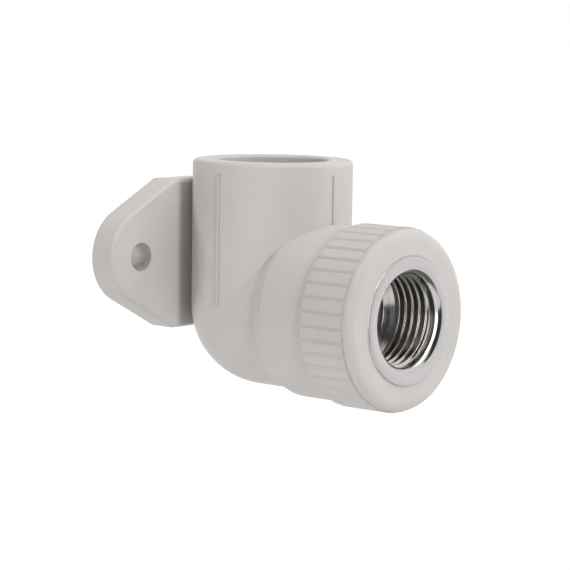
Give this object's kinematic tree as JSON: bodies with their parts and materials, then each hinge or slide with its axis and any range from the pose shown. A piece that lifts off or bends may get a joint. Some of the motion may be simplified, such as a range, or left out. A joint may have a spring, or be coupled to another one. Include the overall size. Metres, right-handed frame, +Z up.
{
  "type": "wall plate elbow",
  "caption": "Grey plastic pipe elbow with an upright fusion socket, a two-eared screw plate behind it and a ribbed collar holding a nickel-plated female-threaded bush.",
  "frame": {"origin": "where the axis of the threaded port meets the wall, on the back of the screw plate", "axes": "+Y into the wall, +Z up along the pipe socket, +X to the right when facing the wall"},
  "size_m": [0.067, 0.0584, 0.0504],
  "materials": {
    "grey_plastic": "satin injection-moulded polypropylene",
    "nickel_plated_brass": "bright nickel plate over turned brass"
  },
  "bodies": {
    "root": {"elbow_body": "grey_plastic", "threaded_insert": "nickel_plated_brass"}
  },
  "joints": []
}
